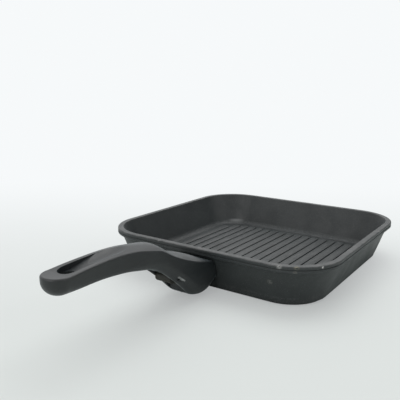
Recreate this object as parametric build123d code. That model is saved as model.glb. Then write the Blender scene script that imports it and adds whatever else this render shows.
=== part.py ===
from build123d import *
import math
import os

# Square cast grill pan with a moulded handle that pulls off its lug.
# Millimetres. The origin is the centre of the pan's underside, on the surface it stands on.
# +Z is up, the handle points along -Y, and the ribs run along Y.

os.makedirs("parts", exist_ok=True)

# Shared allowances
overrun = 1.0              # how far every cutter runs past the face it cuts
slide_gap = 0.3            # between flat faces that slide on each other
pivot_gap = 0.05           # round the trigger's pin, on the radius
seat_gap = 0.02            # round pins, screws and rivets that stay put, on the radius

# Pan, outside
pan_height = 47.4
rim_size = 280.0
rim_corner_radius = 55.6
rim_band_height = 6.0
rim_undercut_height = 2.8
rim_overhang = 5.0         # of the rim past the top of the wall
rim_top_width = 6.6
rim_edge_radius = 1.2
rim_groove_drop = 3.0
rim_groove_height = 0.9
rim_groove_depth = 0.8
wall_top_radius = 51.0
wall_flare = 12.2          # of the wall from its foot to its top
wall_foot_radius = 43.0
foot_step = 3.2            # from the wall's foot in to the foot
foot_radius = 39.6
foot_height = 2.6
foot_edge_radius = 0.6

# Pan, inside
floor_thickness = 5.0
wall_foot_thickness = 4.8
cavity_floor_radius = 38.0
cavity_rim_radius = 49.0
cavity_fillet = 9.0

# Ribs
rib_pitch = 12.3
rib_height = 3.0
rib_foot_width = 11.2
rib_shoulder_width = 10.3
rib_shoulder_height = 2.2
rib_root_depth = 1.2        # how far each rib reaches down into the floor
rib_field_margin = 14.0     # from the foot of the wall inside to the ribs
rib_field_radius = 36.0

# Cast lug that carries the handle, and the collar at its root that stops the sleeve
collar_stand = 1.4         # of the collar's outer face past the top of the wall
collar_margin = 2.2        # all round the lug
collar_edge_radius = 1.5
lug_width = 24.0
lug_height = 11.0
lug_floor_height = 16.5
lug_length = 31.0          # from the collar's face
lug_edge_radius = 1.2
lug_nose_chamfer = 1.0
notch_setback = 5.0        # metal left between the notch and the lug's end
notch_length = 3.6
notch_depth = 2.6

# Handle, outside
front_foot_gap = 2.2       # from the foot of the pan's wall out to the handle's foremost section
handle_length = 192.7      # from there to the section where the tip starts
front_gap = 0.9            # between the block's front face and the pan's wall
front_edge_radius = 1.0
block_half_width = 22.3
block_top_height = 35.8
block_bottom_height = 3.2
grip_half_width = 13.4
crest_height = 75.0
crown_height = 4.9         # how far the neck's back rises above its shoulders
shoulder_radius = 2.0
tip_shoulder_radius = 1.6
grip_bottom_radius = 4.0
block_bottom_radius = 13.0
tip_bottom_radius = 12.0

# Stations of the handle from the block's front to the tip. Each row holds the place along
# the length, the half width from grip to block, the shoulder's height from block to crest, the
# crown, the bottom from block to crest, and the bottom edge's radius from grip to block.
station_shares = (
    (0.000, 1.000, 0.000, 0.06, 0.137, 1.00),
    (0.031, 1.000, 0.003, 0.06, 0.095, 1.00),
    (0.062, 1.000, 0.020, 0.08, 0.047, 1.00),
    (0.099, 0.989, 0.069, 0.33, 0.008, 1.00),
    (0.135, 0.966, 0.122, 0.61, 0.000, 1.00),
    (0.166, 0.944, 0.163, 0.80, 0.014, 1.00),
    (0.192, 0.921, 0.196, 0.92, 0.039, 1.00),
    (0.218, 0.899, 0.240, 0.98, 0.085, 1.00),
    (0.241, 0.876, 0.281, 1.00, 0.138, 1.00),
    (0.265, 0.843, 0.324, 0.98, 0.196, 1.00),
    (0.325, 0.775, 0.446, 0.75, 0.333, 1.00),
    (0.374, 0.697, 0.561, 0.80, 0.435, 1.00),
    (0.420, 0.618, 0.691, 0.98, 0.524, 0.98),
    (0.464, 0.528, 0.804, 0.90, 0.595, 0.90),
    (0.503, 0.438, 0.855, 0.78, 0.640, 0.70),
    (0.580, 0.225, 0.936, 0.49, 0.691, 0.35),
    (0.656, 0.079, 0.982, 0.24, 0.734, 0.12),
    (0.732, 0.011, 1.000, 0.08, 0.760, 0.02),
    (0.810, 0.000, 0.997, -0.06, 0.777, 0.00),
    (0.882, 0.011, 0.985, -0.08, 0.780, 0.00),
    (0.950, 0.034, 0.964, -0.08, 0.763, 0.00),
    (1.000, 0.045, 0.946, -0.08, 0.742, 0.00),
)
tip_blend_share = 0.86     # where the edges start to change towards the tip

# Groove along the top of the grip. Each row holds the place along the handle, and the groove's
# depth and lift as shares of its full depth.
groove_half_width = 8.4
groove_depth = 3.4
groove_shares = (
    (0.597, 0.10, 0.75),
    (0.649, 0.32, 0.42),
    (0.711, 0.58, 0.08),
    (0.792, 0.80, 0.00),
    (0.872, 0.94, 0.00),
    (0.960, 1.00, 0.00),
)

# Hanging hole and the ramp that leads to it
hang_hole_radius = 8.0
hang_hole_setback = 9.0    # from the tip's section back to the hole's axis
ramp_foot_height = 69.0
ramp_head_height = 75.6
ramp_length = 33.0

# Steel sleeve in the block
sleeve_wall = 1.4
sleeve_floor = 2.4
sleeve_edge_radius = 1.0

# Latch leaf
leaf_thickness = 1.0
leaf_width = 16.0
leaf_inset = 2.5           # behind the sleeve's front end
leaf_tongue = 6.0          # past the sleeve's rear end
leaf_nose_depth = 1.7      # how far the nose reaches into the notch
leaf_nose_flat = 0.8
leaf_nose_foot = 3.0
leaf_side_gap = 1.0
leaf_room_front = 2.2      # height of the room over the sleeve, front and rear
leaf_room_rear = 4.8
rivet_radius = 1.5
rivet_head_radius = 2.6
rivet_head_height = 0.9
rivet_spacing = 9.0
rivet_inset = 6.0          # behind the sleeve's front end

# Screws that hold the sleeve, driven from below
screw_radius = 2.0
screw_head_radius = 3.7
screw_head_height = 2.4
screw_seat_height = 8.4
screw_recess_gap = 0.4
screw_inset = 6.5          # behind the sleeve's front end
screw_spacing = 16.0
screw_slot_width = 1.0
screw_slot_depth = 1.0
screw_edge_chamfer = 0.4

# Finger recess under the block
recess_half_width = 10.0
recess_edge_radius = 2.4
recess_place_shares = (0.475, 0.350, 0.216)
recess_depth = 4.6

# Release trigger and its pin
pin_radius = 1.5
pin_setback = 19.6         # from the sleeve's rear end back to the pin
pin_height = 30.6
pin_seat_length = 5.2      # of the pin's end in each side of the block
pin_edge_radius = 0.5
slot_length = 12.4         # shallow slot round each mouth of the pin's bore
slot_width = 4.8
slot_depth = 0.9
slot_draft = 0.7           # how much the slot narrows on each side by its floor
slot_shift = 1.0           # of the slot's middle from the pin, towards the pan
slot_slope_degrees = 37.0
well_half_width = 9.7
web_thickness = 1.5        # between the sleeve's end and the well
web_gap = 1.2              # under the trigger's arm
well_rear_reach = 10.6     # from the pin back to the well's rear wall at its foot
well_rear_lean = 4.4
well_foot_drop = 26.0      # from the pin down past the block's underside
trigger_side_gap = 0.5
trigger_hub_radius = 5.4
trigger_arm_gap = 1.7      # from the sleeve's rear end back to the arm
trigger_arm_thickness = 3.2
trigger_pad_top = (-4.0, 1.5)      # from the pin, along Y and Z
trigger_pad_foot = (9.9, -10.0)
trigger_pad_thickness = 3.5
trigger_edge_radius = 0.8
trigger_rib_count = 4
trigger_rib_radius = 0.7
trigger_rib_pitch = 4.4

# Places that follow from the sizes above
floor_top = floor_thickness
rim_underside = pan_height - rim_band_height
wall_top = rim_underside - rim_undercut_height
wall_top_size = rim_size - 2 * rim_overhang
wall_foot_size = wall_top_size - 2 * wall_flare
foot_size = wall_foot_size - 2 * foot_step
cavity_floor_size = wall_foot_size - 2 * wall_foot_thickness
rib_field_size = cavity_floor_size - 2 * rib_field_margin
rib_count = 2 * int(rib_field_size / 2 / rib_pitch) + 1
lug_top = lug_floor_height + lug_height
wall_slope = wall_flare / (wall_top - foot_height)
collar_face = -wall_top_size / 2 - collar_stand
lug_end = collar_face - lug_length
front_y = -wall_foot_size / 2 - front_foot_gap
sleeve_front = collar_face - slide_gap
sleeve_end = lug_end - slide_gap
pin_y = sleeve_end - pin_setback
pin_reach = well_half_width + pin_seat_length
sleeve_inner_top = lug_top + slide_gap
sleeve_top = sleeve_inner_top + sleeve_wall
sleeve_inner_floor = lug_floor_height - slide_gap
sleeve_bottom = sleeve_inner_floor - sleeve_floor
sleeve_inner_half = lug_width / 2 + slide_gap
sleeve_half = sleeve_inner_half + sleeve_wall
notch_front = lug_end + notch_setback + notch_length
notch_rear = lug_end + notch_setback
tip_y = front_y - handle_length


def rounded_square(size, radius, height):
    return Pos(0, 0, height) * RectangleRounded(size, size, radius)


def tapered_block(low_size, low_radius, low_z, high_size, high_radius, high_z):
    low = rounded_square(low_size, low_radius, low_z)
    high = rounded_square(high_size, high_radius, high_z)
    return loft([low, high], ruled=True)


def box_between(low, high):
    size = [b - a for a, b in zip(low, high)]
    middle = [(a + b) / 2 for a, b in zip(low, high)]
    return Pos(*middle) * Box(*size)


def side_prism(points, half_width):
    # A closed outline in the YZ plane, as thick as twice the half width, centred on x = 0.
    outline = make_face(Polyline(*[(0, y, z) for y, z in points], close=True))
    return extrude(outline, amount=half_width, dir=(1, 0, 0), both=True)


def along(start, end, share):
    return start + (end - start) * share


def rib_half_length(x):
    straight = rib_field_size / 2 - rib_field_radius
    beyond = max(abs(x) - straight, 0)
    return straight + math.sqrt(rib_field_radius ** 2 - beyond ** 2)


def rib(x):
    half_foot = rib_foot_width / 2
    half_shoulder = rib_shoulder_width / 2
    foot_z = floor_top - rib_root_depth
    shoulder_z = floor_top + rib_shoulder_height
    crest_z = floor_top + rib_height
    sunk = Line((0, 0, foot_z), (half_foot, 0, foot_z))
    foot = Line((half_foot, 0, foot_z), (half_foot, 0, floor_top))
    flank = Line((half_foot, 0, floor_top), (half_shoulder, 0, shoulder_z))
    rise = crest_z - shoulder_z
    crown_radius = (half_shoulder ** 2 + rise ** 2) / (2 * rise)
    quarter = half_shoulder / 2
    quarter_z = crest_z - crown_radius + math.sqrt(crown_radius ** 2 - quarter ** 2)
    crown = ThreePointArc((half_shoulder, 0, shoulder_z), (quarter, 0, quarter_z), (0, 0, crest_z))
    axis = Line((0, 0, crest_z), (0, 0, foot_z))
    half_profile = make_face([sunk, foot, flank, crown, axis])
    end = revolve(half_profile, Axis.Z, 180)
    reach = rib_half_length(x) - half_foot
    bar = extrude(half_profile + mirror(half_profile, Plane.YZ), amount=reach, dir=(0, 1, 0), both=True)
    far_end = Pos(x, reach, 0) * end
    near_end = Pos(x, -reach, 0) * Rot(0, 0, 180) * end
    return [Pos(x, 0, 0) * bar, far_end, near_end]


def rim_groove():
    low = pan_height - rim_groove_drop - rim_groove_height
    outside = rounded_square(rim_size + overrun, rim_corner_radius, low)
    inside_size = rim_size - 2 * rim_groove_depth
    inside = rounded_square(inside_size, rim_corner_radius - rim_groove_depth, low)
    return extrude(outside - inside, amount=rim_groove_height)


def collar_box(margin, outer_y, inner_y):
    # The collar's cross section, grown by the margin, between two places along Y.
    half = lug_width / 2 + collar_margin + margin
    low = (-half, outer_y, lug_floor_height - collar_margin - margin)
    high = (half, inner_y, lug_top + collar_margin + margin)
    block = box_between(low, high)
    return fillet(block.edges().filter_by(Axis.Y), collar_edge_radius)


def lug():
    collar = collar_box(0, collar_face, -cavity_floor_size / 2)
    low = (-lug_width / 2, lug_end, lug_floor_height)
    high = (lug_width / 2, collar_face + overrun, lug_top)
    bar = box_between(low, high)
    bar = fillet(bar.edges().filter_by(Axis.Y), lug_edge_radius)
    bar = chamfer(bar.faces().sort_by(Axis.Y)[0].edges(), lug_nose_chamfer)
    notch_low = (-lug_width / 2 - overrun, notch_rear, lug_top - notch_depth)
    notch_high = (lug_width / 2 + overrun, notch_front, lug_top + overrun)
    return collar, bar - box_between(notch_low, notch_high)


def pan_body():
    foot = tapered_block(foot_size, foot_radius, 0, foot_size, foot_radius, foot_height)
    foot = chamfer(foot.faces().sort_by(Axis.Z)[0].edges(), foot_edge_radius)
    wall = tapered_block(wall_foot_size, wall_foot_radius, foot_height, wall_top_size, wall_top_radius, wall_top)
    undercut = tapered_block(wall_top_size, wall_top_radius, wall_top, rim_size, rim_corner_radius, rim_underside)
    band = tapered_block(rim_size, rim_corner_radius, rim_underside, rim_size, rim_corner_radius, pan_height)
    band = fillet(band.faces().sort_by(Axis.Z)[-1].edges(), rim_edge_radius)
    collar, bar = lug()
    body = foot + wall + undercut + band + collar
    mouth_size = rim_size - 2 * rim_top_width
    slope = (mouth_size - cavity_floor_size) / (pan_height - floor_top)
    cavity = tapered_block(
        cavity_floor_size, cavity_floor_radius, floor_top,
        mouth_size + slope * overrun, cavity_rim_radius, pan_height + overrun,
    )
    cavity = fillet(cavity.faces().sort_by(Axis.Z)[0].edges(), cavity_fillet)
    body = body - cavity - rim_groove() + bar
    middle = (rib_count - 1) / 2
    ribs = []
    for index in range(rib_count):
        ribs += rib((index - middle) * rib_pitch)
    return body.fuse(*ribs)


def station(place):
    # The handle's half width, shoulder height, crown, bottom, bottom edge radius and shoulder
    # radius at one place.
    for before, after in zip(station_shares, station_shares[1:]):
        if place <= after[0]:
            break
    share = (place - before[0]) / (after[0] - before[0])
    width, top, crown, bottom, edge = [along(a, b, share) for a, b in zip(before[1:], after[1:])]
    tip_share = max(place - tip_blend_share, 0) / (1 - tip_blend_share)
    small_edge = along(grip_bottom_radius, tip_bottom_radius, tip_share ** 2)
    return (
        along(grip_half_width, block_half_width, width),
        along(block_top_height, crest_height, top),
        crown_height * crown,
        along(block_bottom_height, crest_height, bottom),
        along(small_edge, block_bottom_radius, edge),
        along(shoulder_radius, tip_shoulder_radius, tip_share),
    )


def station_at(y):
    return station((front_y - y) / handle_length)


def bowed_arc(half_span, level, rise):
    # An arc from one side to the middle, which stands above its ends by the rise.
    radius = (half_span ** 2 + rise ** 2) / (2 * abs(rise))
    quarter = half_span / 2
    fall = radius - math.sqrt(radius ** 2 - quarter ** 2)
    quarter_z = level + rise - math.copysign(fall, rise)
    return ThreePointArc((half_span, level), (quarter, quarter_z), (0, level + rise))


def handle_half(place):
    # The right half of a cross section, drawn with Y up.
    half, top, crown, bottom, edge, upper = station(place)
    diagonal = 1 - math.sqrt(0.5)
    shoulder = (half - upper * diagonal, top - upper * diagonal)
    heel = (half - edge * diagonal, bottom + edge * diagonal)
    return [
        bowed_arc(half - upper, top, crown),
        ThreePointArc((half, top - upper), shoulder, (half - upper, top)),
        Line((half, bottom + edge), (half, top - upper)),
        ThreePointArc((half - edge, bottom), heel, (half, bottom + edge)),
        Line((0, bottom), (half - edge, bottom)),
    ]


def handle_plane(place):
    y = front_y - handle_length * place
    return Plane(origin=(0, y, 0), x_dir=(1, 0, 0), z_dir=(0, -1, 0))


def handle_section(place):
    right = handle_half(place)
    left = [mirror(curve, Plane.YZ) for curve in right]
    return handle_plane(place) * make_face([*right, *left])


def handle_tip():
    right = handle_half(1)
    top = right[0] @ 1
    axis_line = Line((0, top.Y), (0, station(1)[3]))
    half_face = handle_plane(1) * make_face([*right, axis_line])
    return revolve(half_face, Axis((0, tip_y, 0), (0, 0, -1)), 180)


def wall_face_y(z):
    # Where the block's front face lies at one height, parallel to the pan's drafted wall.
    return -wall_foot_size / 2 - wall_slope * (z - foot_height) - front_gap


def handle_blank():
    main = loft([handle_section(row[0]) for row in station_shares])
    high_z = crest_height
    front = side_prism(
        [
            (wall_face_y(0), 0),
            (wall_face_y(high_z), high_z),
            (front_y + overrun, high_z),
            (front_y + overrun, 0),
        ],
        block_half_width + overrun,
    )
    main = main - front
    face = main.faces().sort_by(Axis.Y)[-1]
    main = fillet(face.edges(), front_edge_radius)
    return main + handle_tip()


def groove_section(place, depth_share, lift_share):
    top = station(place)[1] + groove_depth * lift_share
    right = [
        bowed_arc(groove_half_width, top, -groove_depth * depth_share),
        Line((groove_half_width, top), (groove_half_width, top + groove_depth)),
        Line((groove_half_width, top + groove_depth), (0, top + groove_depth)),
    ]
    left = [mirror(curve, Plane.YZ) for curve in right]
    return handle_plane(place) * make_face([*right, *left])


def hang_hole_cutters():
    groove = loft([groove_section(*row) for row in groove_shares])
    hole_y = tip_y + hang_hole_setback
    above = crest_height + groove_depth
    hole = upright(0, hole_y, hang_hole_radius, block_top_height, above)
    ramp = side_prism(
        [
            (hole_y, above),
            (hole_y, ramp_foot_height),
            (hole_y + hang_hole_radius, ramp_foot_height),
            (hole_y + hang_hole_radius + ramp_length, ramp_head_height),
            (hole_y + hang_hole_radius + ramp_length, above),
        ],
        groove_half_width,
    )
    return [groove, hole, ramp]


def sleeve_envelope(front, rear):
    low = (-sleeve_half, rear, sleeve_bottom)
    high = (sleeve_half, front, sleeve_top)
    block = box_between(low, high)
    return fillet(block.edges().filter_by(Axis.Y), sleeve_edge_radius)


def screw_places():
    first = sleeve_front - screw_inset
    return [first, first - screw_spacing]


def rivet_places():
    y = sleeve_front - rivet_inset
    return [(-rivet_spacing / 2, y), (rivet_spacing / 2, y)]


def upright(x, y, radius, low_z, high_z):
    return extrude(Pos(x, y, low_z) * Circle(radius), amount=high_z - low_z)


def crossbar(y, z, radius, low_x, high_x):
    disc = Plane(origin=(low_x, y, z), z_dir=(1, 0, 0)) * Circle(radius)
    return extrude(disc, amount=high_x - low_x)


def leaf_room():
    half = leaf_width / 2 + leaf_side_gap
    rear = sleeve_end - leaf_tongue - leaf_side_gap
    return side_prism(
        [
            (sleeve_front + overrun, sleeve_top - overrun),
            (sleeve_front + overrun, sleeve_top + leaf_room_front),
            (rear, sleeve_top + leaf_room_rear),
            (rear, sleeve_top - overrun),
        ],
        half,
    )


def trigger_well():
    roof = pin_height + trigger_hub_radius + slide_gap + pivot_gap
    foot = pin_height - well_foot_drop
    web_top = sleeve_top - slide_gap - trigger_arm_thickness - web_gap
    return side_prism(
        [
            (sleeve_end, roof),
            (sleeve_end, web_top),
            (sleeve_end - web_thickness, web_top),
            (sleeve_end - web_thickness, foot),
            (pin_y - well_rear_reach - well_rear_lean, foot),
            (pin_y - well_rear_reach, pin_height),
            (pin_y - well_rear_reach + well_rear_lean, roof),
        ],
        well_half_width,
    )


def heel_plane(y, z):
    # The plane that touches the block's rounded lower edge, its x axis sloping down to the pan.
    half, top, crown, bottom, edge, upper = station_at(y)
    drop = max(bottom + edge - z, 0)
    side = math.sqrt(edge ** 2 - drop ** 2)
    climb = (station_at(y - overrun)[3] - bottom) / overrun
    slope = math.radians(slot_slope_degrees)
    return Plane(
        origin=(half - edge + side, y, z),
        x_dir=(0, math.cos(slope), -math.sin(slope)),
        z_dir=(side, -drop * climb, -drop),
    )


def pin_slots():
    slope = math.radians(slot_slope_degrees)
    plane = heel_plane(pin_y + slot_shift * math.cos(slope), pin_height - slot_shift * math.sin(slope))
    widening = 2 * slot_draft * overrun / slot_depth
    mouth = plane.offset(overrun) * SlotOverall(slot_length + widening, slot_width + widening)
    narrowing = 2 * slot_draft
    floor = plane.offset(-slot_depth) * SlotOverall(slot_length - narrowing, slot_width - narrowing)
    slot = loft([floor, mouth], ruled=True)
    return [slot, mirror(slot, Plane.YZ)]


def finger_recess():
    points = []
    for index, place in enumerate(recess_place_shares):
        y = front_y - handle_length * place
        points.append((0, y, station(place)[3] + (recess_depth if index == 1 else 0)))
    curve = ThreePointArc(*points)
    below_rear = (0, points[0][1], points[0][2] - block_bottom_height - recess_depth)
    below_front = (0, points[2][1] - recess_depth, block_bottom_height - recess_depth)
    outline = [
        curve,
        Line(points[2], below_front),
        Line(below_front, below_rear),
        Line(below_rear, points[0]),
    ]
    prism = extrude(make_face(outline), amount=recess_half_width, dir=(1, 0, 0), both=True)
    return fillet(prism.edges().filter_by(GeomType.CIRCLE), recess_edge_radius)


def handle_body():
    side = station_at(pin_y)[0]
    cutters = hang_hole_cutters() + pin_slots()
    cutters += [
        collar_box(slide_gap, sleeve_front, front_y),
        sleeve_envelope(sleeve_front + overrun, sleeve_end),
        leaf_room(),
        trigger_well(),
        finger_recess(),
        crossbar(pin_y, pin_height, pin_radius + seat_gap, -side - overrun, side + overrun),
    ]
    low_z = block_bottom_height - overrun
    for y in screw_places():
        cutters.append(upright(0, y, screw_radius + seat_gap, low_z, sleeve_bottom + overrun))
        cutters.append(upright(0, y, screw_head_radius + screw_recess_gap, low_z, screw_seat_height))
    return handle_blank().cut(*cutters)


def lug_sleeve():
    outside = sleeve_envelope(sleeve_front, sleeve_end)
    low = (-sleeve_inner_half, sleeve_end - overrun, sleeve_inner_floor)
    high = (sleeve_inner_half, sleeve_front + overrun, sleeve_inner_top)
    half_window = leaf_width / 2 + slide_gap
    window_low = (-half_window, notch_rear - slide_gap, lug_top)
    window_high = (half_window, notch_front + slide_gap, sleeve_top + overrun)
    sleeve = outside - box_between(low, high) - box_between(window_low, window_high)
    for y in screw_places():
        sleeve -= upright(0, y, screw_radius + seat_gap, sleeve_bottom - overrun, sleeve_inner_floor + overrun)
    for x, y in rivet_places():
        sleeve -= upright(x, y, rivet_radius + seat_gap, lug_top, sleeve_top + overrun)
    return sleeve


def latch_leaf():
    front = sleeve_front - leaf_inset
    rear = sleeve_end - leaf_tongue
    top = sleeve_top + leaf_thickness
    nose_rear = notch_rear + slide_gap
    nose_z = lug_top - leaf_nose_depth
    leaf = side_prism(
        [
            (front, sleeve_top),
            (front, top),
            (rear, top),
            (rear, sleeve_top),
            (nose_rear, sleeve_top),
            (nose_rear, nose_z),
            (nose_rear + leaf_nose_flat, nose_z),
            (nose_rear + leaf_nose_foot, sleeve_top),
        ],
        leaf_width / 2,
    )
    for x, y in rivet_places():
        leaf -= upright(x, y, rivet_radius + seat_gap, sleeve_top - overrun, top + overrun)
    return leaf


def leaf_rivets():
    rivets = []
    head_z = sleeve_top + leaf_thickness
    for x, y in rivet_places():
        shank = upright(x, y, rivet_radius, sleeve_inner_top, head_z)
        head = upright(x, y, rivet_head_radius, head_z, head_z + rivet_head_height)
        head = fillet(head.edges().sort_by(Axis.Z)[-1], rivet_head_height / 2)
        rivets.append(shank + head)
    return Compound(children=rivets)


def sleeve_screws():
    screws = []
    head_z = screw_seat_height - screw_head_height
    for y in screw_places():
        shank = upright(0, y, screw_radius, screw_seat_height, sleeve_inner_floor - slide_gap)
        head = upright(0, y, screw_head_radius, head_z, screw_seat_height)
        head = chamfer(head.edges().sort_by(Axis.Z)[0], screw_edge_chamfer)
        low = (-screw_head_radius, y - screw_slot_width / 2, head_z - overrun)
        high = (screw_head_radius, y + screw_slot_width / 2, head_z + screw_slot_depth)
        screws.append(shank + head - box_between(low, high))
    return Compound(children=screws)


def release_trigger():
    half = well_half_width - trigger_side_gap
    hub = crossbar(pin_y, pin_height, trigger_hub_radius, -half, half)
    arm_top = sleeve_top - slide_gap
    arm = box_between(
        (-half, pin_y, arm_top - trigger_arm_thickness),
        (half, sleeve_end - trigger_arm_gap, arm_top),
    )
    arm = fillet(arm.edges().filter_by(Axis.X).sort_by(Axis.Y)[-2:], trigger_edge_radius)
    top_y, top_z = pin_y + trigger_pad_top[0], pin_height + trigger_pad_top[1]
    foot_y, foot_z = pin_y + trigger_pad_foot[0], pin_height + trigger_pad_foot[1]
    length = math.hypot(foot_y - top_y, foot_z - top_z)
    in_y = (top_z - foot_z) / length
    in_z = (foot_y - top_y) / length
    thick = trigger_pad_thickness
    pad = side_prism(
        [
            (top_y, top_z),
            (foot_y, foot_z),
            (foot_y + in_y * thick, foot_z + in_z * thick),
            (top_y + in_y * thick, top_z + in_z * thick),
        ],
        half,
    )
    pad = fillet(pad.edges().filter_by(Axis.X), trigger_edge_radius)
    trigger = hub + arm + pad
    middle = (trigger_rib_count - 1) / 2
    for index in range(trigger_rib_count):
        share = 0.5 + (index - middle) * trigger_rib_pitch / length
        y = along(top_y, foot_y, share)
        z = along(top_z, foot_z, share)
        inner = half - trigger_edge_radius
        trigger += crossbar(y, z, trigger_rib_radius, -inner, inner)
    return trigger - crossbar(pin_y, pin_height, pin_radius + pivot_gap, -half - overrun, half + overrun)


def trigger_pin():
    pin = crossbar(pin_y, pin_height, pin_radius, -pin_reach, pin_reach)
    return fillet(pin.edges().filter_by(GeomType.CIRCLE), pin_edge_radius)


pieces = {
    "pan_body": pan_body,
    "handle_body": handle_body,
    "lug_sleeve": lug_sleeve,
    "latch_leaf": latch_leaf,
    "leaf_rivets": leaf_rivets,
    "sleeve_screws": sleeve_screws,
    "release_trigger": release_trigger,
    "trigger_pin": trigger_pin,
}

for name, make in pieces.items():
    export_step(make(), f"parts/{name}.step")
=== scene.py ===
import math
import bpy
from mathutils import Matrix, Vector


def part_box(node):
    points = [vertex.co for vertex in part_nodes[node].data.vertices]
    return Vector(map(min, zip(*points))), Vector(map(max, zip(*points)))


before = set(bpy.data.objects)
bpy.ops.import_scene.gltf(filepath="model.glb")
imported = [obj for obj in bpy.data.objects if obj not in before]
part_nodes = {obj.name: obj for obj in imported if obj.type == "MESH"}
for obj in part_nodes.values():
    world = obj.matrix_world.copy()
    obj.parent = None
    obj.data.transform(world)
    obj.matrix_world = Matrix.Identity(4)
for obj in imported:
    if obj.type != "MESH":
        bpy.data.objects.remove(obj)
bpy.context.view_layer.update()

# Square cast grill pan with a moulded handle, on a pale studio floor. Everything is in metres, in
# the frame of the part: origin under the middle of the pan, handle towards -Y, up is +Z.

# Camera, at the photograph's viewing angle
CAMERA_PLACE = (0.2964, -0.5590, 0.2095)
CAMERA_AIM = (-0.55525, 0.80455, -0.21069)
CAMERA_ROLL_DEGREES = 0.384
CAMERA_LENS = 46.11                 # millimetres
CAMERA_SENSOR = 36.0                # millimetres wide
CAMERA_NEAREST = 0.01

# Floor, which fades into the backdrop
FLOOR_HALF_WIDTH = 40.0
FLOOR_FADE = (-0.34, 0.55)          # from the middle of the pan, away from the camera
FLOOR_ROUND_FADE = (0.75, 1.70)     # distances from the pan, on every side
FLOOR_LIFT = 0.25                   # share of the backdrop's glow that the near floor has
FLOOR_COLOUR = (0.575, 0.610, 0.590)
FLOOR_PALER = 1.02                  # how much paler its pale patches are
BACKDROP_SEEN = (0.925, 0.947, 0.957)

# Room of pale light round the object, with one dark screen in it
ROOM_BRIGHT_SIDE = (-0.40, 0.50, 0.75)
ROOM_DIM = 0.44
ROOM_BRIGHT = 1.08
FLAG_SIDE = (0.68, 0.68, 0.24)      # where the screen is, which the left inner wall mirrors
FLAG_EDGES = (0.45, 0.92)           # cosines of the angles where it starts and where it is full
FLAG_SHARE = 0.92                   # share of the light that it takes away

# Lamps: name, place, point that it faces, width, height and watts
LAMPS = (
    ("high_softbox", (0.00, 0.70, 1.50), (0.0, -0.05, 0.0), 1.6, 1.4, 11.0),
    ("right_softbox", (2.60, 0.60, 1.10), (0.0, 0.0, 0.03), 2.4, 1.6, 14.0),
    ("front_softbox", (-0.10, -1.60, 0.70), (0.0, 0.0, 0.03), 1.0, 1.0, 5.0),
)

# Heights on the pan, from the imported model. A pair is where a change starts and where it ends.
RIM_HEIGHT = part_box("pan_body")[1][2]
PAN_FLOOR_HEIGHT = 0.0050
RIB_CREST_HEIGHT = 0.0080
CREST_WEAR = (PAN_FLOOR_HEIGHT + 0.0018, RIB_CREST_HEIGHT - 0.0002)
CREST_WEAR_STOPS = (RIB_CREST_HEIGHT + 0.001, RIB_CREST_HEIGHT + 0.002)
# Rim's top band, partly rubbed wear and partly a painted highlight
RIM_WEAR_AND_HIGHLIGHT = (RIM_HEIGHT - 0.0016, RIM_HEIGHT - 0.0003)
FLECKS_THIN_OUT = (0.0085, 0.0120)
FLECKS_ON_FLOOR = 0.55
FLECKS_ON_WALLS = 0.28

# Marks of use on the pan: place, radius, strength and colour. The last two are guesses.
CHIPS = (
    ((0.1313, -0.1143, 0.0458), 0.0011, 1.0, (0.62, 0.62, 0.60)),
    ((0.0973, -0.1386, 0.0464), 0.0024, 0.6, (0.34, 0.34, 0.33)),
    ((0.1126, -0.1325, 0.0472), 0.0022, 0.5, (0.30, 0.27, 0.16)),
    ((0.0844, -0.1307, 0.0261), 0.0026, 0.35, (0.22, 0.22, 0.20)),
    ((0.1113, -0.1330, 0.0415), 0.0018, 0.4, (0.26, 0.25, 0.22)),
    ((-0.0480, -0.1380, 0.0468), 0.0016, 0.5, (0.36, 0.36, 0.35)),
    ((0.1385, 0.0410, 0.0462), 0.0014, 0.6, (0.42, 0.42, 0.41)),
)
CHIP_SOFTNESS = 0.6                 # share of a chip's radius over which it fades

# The fillet in the far left corner of the pan's floor, wiped smooth, with a painted highlight band
# along it
CORNER_PLACE = (-0.1050, 0.1240, 0.0095)
CORNER_RADIUS = 0.012
CORNER_SOFTNESS = 0.008
CORNER_LESS_ROUGH = 0.18
CORNER_BAND_STARTS = (0.0072, 0.0088)
CORNER_BAND_ENDS = (0.0105, 0.0125)

# Slot round the pin, on each side of the block: a painted highlight along its upper edge
SLOT_MIDDLE = (0.0, -0.1858, 0.0314)
SLOT_ALONG = (0.0, 0.80, -0.60)
SLOT_ACROSS = (0.0, 0.60, 0.80)
SLOT_LINE_ENDS = (0.0048, 0.0064)   # from the middle along the line
SLOT_LINE_EDGES = (0.0004, 0.0009)  # from the middle across it
SLOT_FACE = (0.0150, 0.0165)        # from the middle of the handle out to the block's side

# Finger recess under the block: a painted highlight along its lip on each side
RECESS_HALF_WIDTH = 0.0100
RECESS_LIP_STARTS = (RECESS_HALF_WIDTH - 0.0002, RECESS_HALF_WIDTH + 0.0001)
RECESS_LIP_ENDS = (RECESS_HALF_WIDTH + 0.0009, RECESS_HALF_WIDTH + 0.0019)
RECESS_REAR = (-0.2165, -0.2105)
RECESS_FRONT = (-0.1740, -0.1680)
RECESS_TOP = (0.0400, 0.0420)

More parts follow.
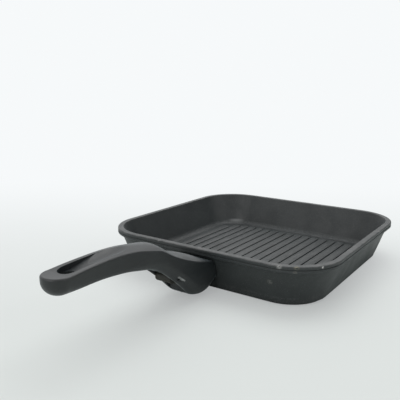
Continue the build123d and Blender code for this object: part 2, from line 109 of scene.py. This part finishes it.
# Colours
COATING_DARK = (0.0160, 0.0196, 0.0203)
COATING_LIGHT = (0.0240, 0.0290, 0.0298)
COATING_FLECK = (0.19, 0.195, 0.195)
COATING_PIT = (0.010, 0.0105, 0.011)
CREST_WORN = (0.085, 0.090, 0.091)
# Rim's top band: rubbed wear with a painted highlight
RIM_RUBBED_AND_HIGHLIGHT = (0.10, 0.10, 0.10)
# Painted highlight, on the corner fillet and along the pin slot's upper edge
PAINTED_EDGE_HIGHLIGHT = (0.30, 0.31, 0.31)
RESIN_DARK = (0.0046, 0.0066, 0.0074)
RESIN_LIGHT = (0.0074, 0.0102, 0.0112)
RESIN_DUST = (0.085, 0.088, 0.092)
# Painted highlight on the finger recess's lips
RECESS_LIP_HIGHLIGHT = (0.16, 0.17, 0.17)
OLIVE_DARK = (0.008, 0.0085, 0.005)
OLIVE_LIGHT = (0.014, 0.014, 0.008)
COATING_SHEEN = (0.80, 0.95, 1.0, 1.0)
RESIN_SHEEN = (0.75, 0.92, 1.0, 1.0)
STAIN_DARKER = 0.55                 # share of a steel's dark tone that its stains keep

# Noise values between which a broad, soft pattern goes from none to full
BROAD = (0.3, 0.7)


class Nodes:
    """A node tree, with short calls for the nodes that the finishes and the room share."""

    def __init__(self, tree, coordinates):
        self.tree = tree
        self.place = self.node("ShaderNodeTexCoord").outputs[coordinates]

    def node(self, kind, **settings):
        made = self.tree.nodes.new(kind)
        for key, value in settings.items():
            setattr(made, key, value)
        return made

    def feed(self, socket, value):
        if isinstance(value, bpy.types.NodeSocket):
            self.tree.links.new(value, socket)
        else:
            socket.default_value = value

    def span(self, value, low, high, out_low=0.0, out_high=1.0, interpolation_type="SMOOTHSTEP"):
        made = self.node("ShaderNodeMapRange", interpolation_type=interpolation_type)
        self.feed(made.inputs["Value"], value)
        made.inputs["From Min"].default_value = low
        made.inputs["From Max"].default_value = high
        made.inputs["To Min"].default_value = out_low
        made.inputs["To Max"].default_value = out_high
        return made.outputs["Result"]

    def until(self, value, low, high):
        # 1 below the low value, 0 above the high one.
        return self.span(value, low, high, 1.0, 0.0)

    def maths(self, operation, first, second):
        made = self.node("ShaderNodeMath", operation=operation)
        self.feed(made.inputs[0], first)
        self.feed(made.inputs[1], second)
        return made.outputs[0]

    def product(self, first, *others):
        result = first
        for other in others:
            result = self.maths("MULTIPLY", result, other)
        return result

    def vector_maths(self, operation, first, second=None, output="Value"):
        made = self.node("ShaderNodeVectorMath", operation=operation)
        self.feed(made.inputs[0], first)
        if second is not None:
            self.feed(made.inputs[1], second)
        return made.outputs[output]

    def blend(self, share, first, second):
        made = self.node("ShaderNodeMix", data_type="RGBA")
        self.feed(made.inputs["Factor"], share)
        for name, colour in (("A", first), ("B", second)):
            is_socket = isinstance(colour, bpy.types.NodeSocket)
            self.feed(made.inputs[name], colour if is_socket else (*colour, 1))
        return made.outputs["Result"]

    def camera_ray(self):
        return self.node("ShaderNodeLightPath").outputs["Is Camera Ray"]


class Finish(Nodes):
    """A material, with the patterns that its colour, roughness and bump are made of."""

    def __init__(self, name):
        self.material = bpy.data.materials.new(name)
        self.material.use_nodes = True
        super().__init__(self.material.node_tree, "Object")
        self.shader = self.tree.nodes["Principled BSDF"]

    def noise(self, per_metre, detail=3.0, rough=0.55, stretch=None):
        made = self.node("ShaderNodeTexNoise")
        self.feed(made.inputs["Vector"], self.stretched(stretch) if stretch else self.place)
        made.inputs["Scale"].default_value = per_metre
        made.inputs["Detail"].default_value = detail
        made.inputs["Roughness"].default_value = rough
        return made.outputs["Fac"]

    def stretched(self, stretch):
        mapping = self.node("ShaderNodeMapping")
        self.feed(mapping.inputs["Vector"], self.place)
        mapping.inputs["Scale"].default_value = stretch
        return mapping.outputs["Vector"]

    def patches(self, edges, out_low=0.0, out_high=1.0, **noise):
        # Noise, made crisper between two of its values.
        return self.span(self.noise(**noise), *edges, out_low, out_high)

    def paint(self, under, over, mask, strength):
        return self.blend(self.product(mask, strength), under, over)

    def axes(self):
        made = self.node("ShaderNodeSeparateXYZ")
        self.feed(made.inputs[0], self.place)
        return made.outputs

    def size_of(self, value):
        return self.maths("ABSOLUTE", value, 0.0)

    def reach(self, origin, direction):
        # How far a point lies from the origin along a direction, on either side.
        moved = self.vector_maths("SUBTRACT", self.place, origin, output="Vector")
        return self.size_of(self.vector_maths("DOT_PRODUCT", moved, direction))

    def near(self, spot, radius, softness):
        # 1 inside a ball round the spot, 0 outside.
        distance = self.vector_maths("DISTANCE", self.place, spot)
        return self.until(distance, radius - softness, radius + softness)

    def bump(self, height, depth, strength, under=None):
        made = self.node("ShaderNodeBump")
        made.inputs["Strength"].default_value = strength
        made.inputs["Distance"].default_value = depth
        self.feed(made.inputs["Height"], height)
        if under is not None:
            self.feed(made.inputs["Normal"], under)
        return made.outputs["Normal"]

    def finish(self, colour, roughness, normal, **constants):
        self.feed(self.shader.inputs["Base Color"], colour)
        self.feed(self.shader.inputs["Roughness"], roughness)
        self.feed(self.shader.inputs["Normal"], normal)
        for name, value in constants.items():
            self.shader.inputs[name.replace("_", " ")].default_value = value
        return self.material


def coating():
    # Fine-speckled charcoal non-stick coating, a little worn where the ribs and the rim are touched;
    # the lighter band on the rim's top is partly that wear and partly a painted highlight.
    t = Finish("speckled_coating")
    height = t.axes()["Z"]
    cloud = t.patches(BROAD, per_metre=14.0, detail=4.0)
    colour = t.blend(cloud, COATING_DARK, COATING_LIGHT)
    fleck = t.patches((0.60, 0.68), per_metre=1400.0, detail=2.0, rough=0.6)
    fleck_strength = t.span(height, *FLECKS_THIN_OUT, FLECKS_ON_FLOOR, FLECKS_ON_WALLS)
    colour = t.paint(colour, COATING_FLECK, fleck, fleck_strength)
    pit = t.patches((0.30, 0.40), out_low=1.0, out_high=0.0, per_metre=900.0, detail=2.0, rough=0.6)
    colour = t.paint(colour, COATING_PIT, pit, strength=0.6)
    crest = t.product(t.span(height, *CREST_WEAR), t.until(height, *CREST_WEAR_STOPS))
    drag = t.patches((0.42, 0.66), per_metre=60.0, detail=4.0, rough=0.65, stretch=(9.0, 1.0, 1.0))
    colour = t.paint(colour, CREST_WORN, t.product(crest, drag), strength=0.32)
    # Lighter band along the rim's top: partly rubbed wear, partly a painted highlight
    rubbed_and_highlight = t.patches((0.40, 0.62), per_metre=90.0, detail=4.0)
    colour = t.paint(colour, RIM_RUBBED_AND_HIGHLIGHT, t.product(t.span(height, *RIM_WEAR_AND_HIGHLIGHT), rubbed_and_highlight), strength=0.45)
    ragged = t.patches((0.40, 0.56), per_metre=700.0, rough=0.7)
    for spot, radius, strength, chip_colour in CHIPS:
        mark = t.product(t.near(spot, radius, radius * CHIP_SOFTNESS), ragged)
        colour = t.paint(colour, chip_colour, mark, strength)
    # Painted highlight along the far corner's fillet
    corner = t.near(CORNER_PLACE, CORNER_RADIUS, CORNER_SOFTNESS)
    fillet = t.product(t.span(height, *CORNER_BAND_STARTS), t.until(height, *CORNER_BAND_ENDS))
    colour = t.paint(colour, PAINTED_EDGE_HIGHLIGHT, t.product(corner, fillet), strength=0.6)
    matt = t.patches(BROAD, out_low=0.44, out_high=0.56, per_metre=45.0, detail=4.0)
    roughness = t.maths("SUBTRACT", matt, t.product(corner, CORNER_LESS_ROUGH))
    peel = t.bump(t.noise(per_metre=520.0), depth=0.00010, strength=0.5)
    grain = t.bump(t.noise(per_metre=1700.0, detail=2.0), depth=0.00004, strength=0.6, under=peel)
    sheen = {"Sheen_Weight": 0.05, "Sheen_Roughness": 0.4, "Sheen_Tint": COATING_SHEEN}
    return t.finish(colour, roughness, grain, **sheen)


def painted_slot_highlight(t, side):
    # The light that the slot's upper edge catches on the block's sides.
    return t.product(
        t.until(t.reach(SLOT_MIDDLE, SLOT_ALONG), *SLOT_LINE_ENDS),
        t.until(t.reach(SLOT_MIDDLE, SLOT_ACROSS), *SLOT_LINE_EDGES),
        t.span(side, *SLOT_FACE),
        t.patches((0.30, 0.52), out_low=0.55, per_metre=260.0),
    )


def painted_recess_highlight(t, side, along, height):
    # The light that the lips of the finger recess catch.
    return t.product(
        t.span(side, *RECESS_LIP_STARTS),
        t.until(side, *RECESS_LIP_ENDS),
        t.span(along, *RECESS_REAR),
        t.until(along, *RECESS_FRONT),
        t.until(height, *RECESS_TOP),
        t.patches((0.30, 0.60), out_low=0.5, per_metre=200.0),
    )


def moulded_resin():
    # Satin charcoal handle moulding with a fine spark-eroded grain and faint hand marks.
    t = Finish("charcoal_resin")
    axes = t.axes()
    side = t.size_of(axes["X"])
    cloud = t.patches(BROAD, per_metre=22.0, detail=4.0)
    colour = t.blend(cloud, RESIN_DARK, RESIN_LIGHT)
    dust = t.patches((0.64, 0.74), per_metre=1300.0, detail=2.0)
    colour = t.paint(colour, RESIN_DUST, dust, strength=0.35)
    # Painted highlight along the pin slot's upper edge
    colour = t.paint(colour, PAINTED_EDGE_HIGHLIGHT, painted_slot_highlight(t, side), strength=0.9)
    # Painted highlight along the finger recess's lips
    colour = t.paint(colour, RECESS_LIP_HIGHLIGHT, painted_recess_highlight(t, side, axes["Y"], axes["Z"]), strength=0.7)
    smear = t.patches((0.35, 0.68), per_metre=38.0, detail=5.0, rough=0.6, stretch=(1.0, 0.35, 1.0))
    roughness = t.span(smear, 0.0, 1.0, out_low=0.40, out_high=0.52)
    grain = t.bump(t.noise(per_metre=1500.0), depth=0.00005, strength=0.55)
    soft = t.bump(t.noise(per_metre=170.0, detail=2.0), depth=0.00008, strength=0.3, under=grain)
    sheen = {"Sheen_Weight": 0.12, "Sheen_Roughness": 0.35, "Sheen_Tint": RESIN_SHEEN}
    return t.finish(colour, roughness, soft, Specular_IOR_Level=0.60, **sheen)


def olive_resin():
    t = Finish("olive_resin")
    colour = t.blend(t.patches(BROAD, per_metre=60.0, detail=4.0), OLIVE_DARK, OLIVE_LIGHT)
    roughness = t.patches(BROAD, out_low=0.50, out_high=0.62, per_metre=110.0)
    grain = t.bump(t.noise(per_metre=1500.0, detail=2.0), depth=0.00005, strength=0.5)
    return t.finish(colour, roughness, grain)


def steel(name, dark, light, stretch, roughness):
    t = Finish(name)
    lines = t.noise(per_metre=260.0, detail=4.0, rough=0.6, stretch=stretch)
    colour = t.blend(t.span(lines, *BROAD), dark, light)
    stain = t.patches((0.42, 0.68), per_metre=70.0, detail=4.0)
    stained = tuple(value * STAIN_DARKER for value in dark)
    colour = t.paint(colour, stained, stain, strength=0.25)
    scratches = t.bump(lines, depth=0.00003, strength=0.5)
    return t.finish(colour, t.span(lines, *BROAD, *roughness), scratches, Metallic=1.0)


def dress_parts():
    drawn = steel(
        "drawn_steel", dark=(0.46, 0.46, 0.45), light=(0.64, 0.63, 0.62),
        stretch=(8.0, 1.0, 8.0), roughness=(0.26, 0.40),
    )
    turned = steel(
        "turned_steel", dark=(0.50, 0.50, 0.49), light=(0.68, 0.67, 0.66),
        stretch=(1.0, 6.0, 6.0), roughness=(0.20, 0.34),
    )
    spring = steel(
        "spring_steel", dark=(0.24, 0.26, 0.29), light=(0.38, 0.40, 0.43),
        stretch=(10.0, 1.0, 10.0), roughness=(0.28, 0.42),
    )
    blackened = steel(
        "blackened_steel", dark=(0.030, 0.031, 0.032), light=(0.060, 0.061, 0.062),
        stretch=(1.0, 6.0, 6.0), roughness=(0.34, 0.48),
    )
    finishes = {
        "pan_body": coating(),
        "handle_body": moulded_resin(),
        "release_trigger": olive_resin(),
        "lug_sleeve": drawn,
        "latch_leaf": spring,
        "leaf_rivets": turned,
        "sleeve_screws": turned,
        "trigger_pin": blackened,
    }
    for name, finish in finishes.items():
        part = part_nodes[name]
        part.data.materials.clear()
        part.data.materials.append(finish)


def floor_finish():
    # Matt paper near the object. Seen by the camera it fades into the backdrop further away.
    t = Finish("paper_floor")
    paler = tuple(value * FLOOR_PALER for value in FLOOR_COLOUR)
    colour = t.blend(t.patches(BROAD, per_metre=2.5), FLOOR_COLOUR, paler)
    roughness = t.patches(BROAD, out_low=0.72, out_high=0.85, per_metre=30.0)
    fibre = t.bump(t.noise(per_metre=1200.0), depth=0.00003, strength=0.3)
    t.finish(colour, roughness, fibre, Specular_IOR_Level=0.15)
    level_aim = Vector((CAMERA_AIM[0], CAMERA_AIM[1], 0)).normalized()
    away = t.span(t.vector_maths("DOT_PRODUCT", t.place, level_aim), *FLOOR_FADE, FLOOR_LIFT)
    round_about = t.span(t.vector_maths("LENGTH", t.place), *FLOOR_ROUND_FADE)
    fade = t.maths("MAXIMUM", away, round_about)
    glow = t.node("ShaderNodeEmission")
    glow.inputs["Color"].default_value = (*BACKDROP_SEEN, 1)
    mix = t.node("ShaderNodeMixShader")
    t.feed(mix.inputs["Fac"], t.product(fade, t.camera_ray()))
    t.feed(mix.inputs[1], t.shader.outputs[0])
    t.feed(mix.inputs[2], glow.outputs[0])
    t.feed(t.tree.nodes["Material Output"].inputs["Surface"], mix.outputs[0])
    return t.material


def paper_floor():
    half = FLOOR_HALF_WIDTH
    corners = [(-half, -half, 0), (half, -half, 0), (half, half, 0), (-half, half, 0)]
    mesh = bpy.data.meshes.new("paper_floor")
    mesh.from_pydata(corners, [], [(0, 1, 2, 3)])
    mesh.materials.append(floor_finish())
    floor = bpy.data.objects.new("paper_floor", mesh)
    bpy.context.collection.objects.link(floor)


def softbox(name, place, aim, width, height, watts):
    lamp = bpy.data.lights.new(name, "AREA")
    lamp.shape = "RECTANGLE"
    lamp.size = width
    lamp.size_y = height
    lamp.energy = watts
    holder = bpy.data.objects.new(name, lamp)
    holder.location = place
    holder.rotation_euler = facing_along(Vector(aim) - Vector(place)).to_euler()
    holder.visible_camera = False
    bpy.context.collection.objects.link(holder)


def facing_along(direction):
    # How a lamp or camera is turned to face in one direction, upright.
    return direction.to_track_quat("-Z", "Y")


def surroundings():
    # Brightest behind and above, with the dark screen; the camera sees plain near-white.
    world = bpy.data.worlds.new("studio")
    world.use_nodes = True
    t = Nodes(world.node_tree, "Generated")
    towards_light = t.vector_maths("DOT_PRODUCT", t.place, Vector(ROOM_BRIGHT_SIDE).normalized())
    light = t.span(towards_light, -1.0, 1.0, ROOM_DIM, ROOM_BRIGHT, "LINEAR")
    towards_flag = t.vector_maths("DOT_PRODUCT", t.place, Vector(FLAG_SIDE).normalized())
    flag = t.span(towards_flag, *FLAG_EDGES, 1.0, 1.0 - FLAG_SHARE, "LINEAR")
    seen = t.blend(t.camera_ray(), t.product(light, flag), BACKDROP_SEEN)
    t.feed(t.tree.nodes["Background"].inputs["Color"], seen)
    bpy.context.scene.world = world


def camera():
    made = bpy.data.cameras.new("camera")
    made.sensor_width = CAMERA_SENSOR
    made.lens = CAMERA_LENS
    made.clip_start = CAMERA_NEAREST
    holder = bpy.data.objects.new("camera", made)
    holder.location = CAMERA_PLACE
    upright = facing_along(Vector(CAMERA_AIM)).to_matrix().to_4x4()
    roll = Matrix.Rotation(math.radians(CAMERA_ROLL_DEGREES), 4, "Z")
    holder.rotation_euler = (upright @ roll).to_euler()
    bpy.context.collection.objects.link(holder)
    bpy.context.scene.camera = holder


camera()
surroundings()
for lamp_values in LAMPS:
    softbox(*lamp_values)
paper_floor()
dress_parts()
bpy.context.scene.view_settings.view_transform = "Standard"
